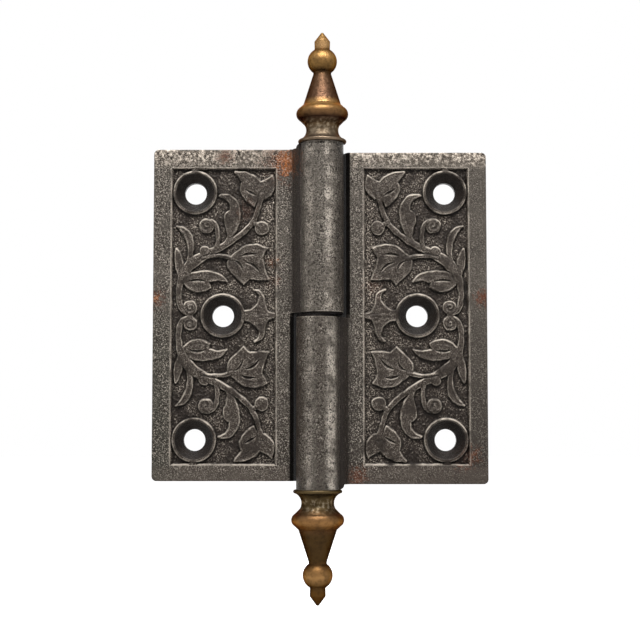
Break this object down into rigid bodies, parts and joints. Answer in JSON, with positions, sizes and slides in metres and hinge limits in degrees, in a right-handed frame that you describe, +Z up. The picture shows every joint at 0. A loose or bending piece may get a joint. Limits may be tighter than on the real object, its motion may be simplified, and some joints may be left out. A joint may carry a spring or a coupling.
{
  "type": "lift-off hinge",
  "caption": "Cast-iron lift-off butt hinge with sunk ivy panels, countersunk screw holes and turned bronze finials; the door leaf swings on a steel pin and lifts off it.",
  "frame": {"origin": "middle of the pin's axis, half way between the two leaf ends", "axes": "+Z up along the pin; -Y out of the carved fronts; door leaf on -X and frame leaf on +X, lying open flat"},
  "size_m": [0.0888, 0.0138, 0.152],
  "materials": {
    "iron": "pitted and worn, with rust stains",
    "bronze": "aged bronze, turned and worn",
    "pin_steel": "plain turned steel, oiled"
  },
  "bodies": {
    "frame_leaf": {"frame_leaf": "iron", "lower_finial": "bronze"},
    "pin": {"pin": "pin_steel"},
    "door_leaf": {"door_leaf": "iron", "upper_finial": "bronze"}
  },
  "joints": [
    {"name": "swing", "type": "hinge", "parent": "frame_leaf", "child": "pin", "pos_m": [0, 0, 0], "axis": [0, 0, 1], "range_deg": [-70, 180]},
    {"name": "lift_off", "type": "slide", "parent": "pin", "child": "door_leaf", "axis": [0, 0, 1], "range_m": [0, 0.04]}
  ]
}
